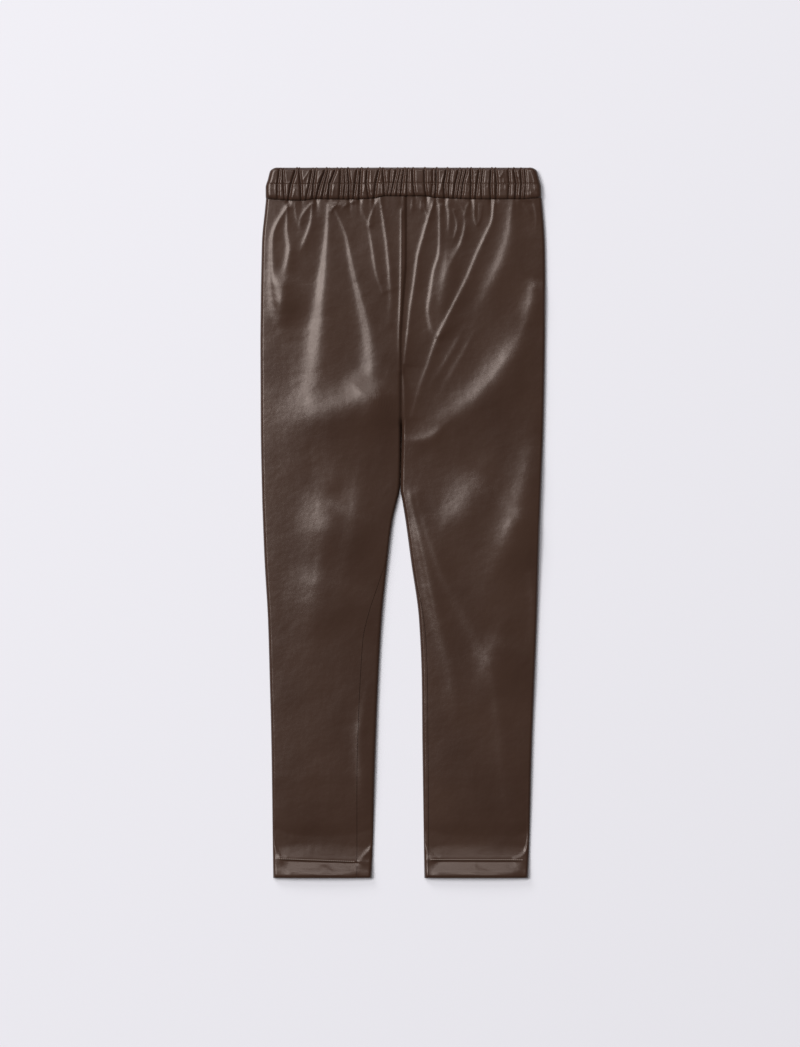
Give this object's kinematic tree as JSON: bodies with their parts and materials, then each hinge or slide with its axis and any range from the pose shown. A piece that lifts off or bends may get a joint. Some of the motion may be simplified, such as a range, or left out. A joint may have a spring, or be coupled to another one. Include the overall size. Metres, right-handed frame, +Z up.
{
  "type": "leggings",
  "caption": "Child's pull-on leggings in leather-look coated cloth, laid flat, with a gathered elastic waistband and turned-up hems.",
  "frame": {"origin": "middle of the footprint, on the surface that the leggings lie on", "axes": "+X across the legs to the right as seen from above, +Y along the legs to the waist, +Z up from the surface"},
  "size_m": [0.2412, 0.6, 0.0094],
  "materials": {
    "cloth": "dark brown leather-look coated knit with a fine grain and a soft satin sheen"
  },
  "bodies": {
    "root": {"front_left": "cloth", "front_right": "cloth", "back_left": "cloth", "back_right": "cloth", "waistband": "cloth"}
  },
  "joints": []
}
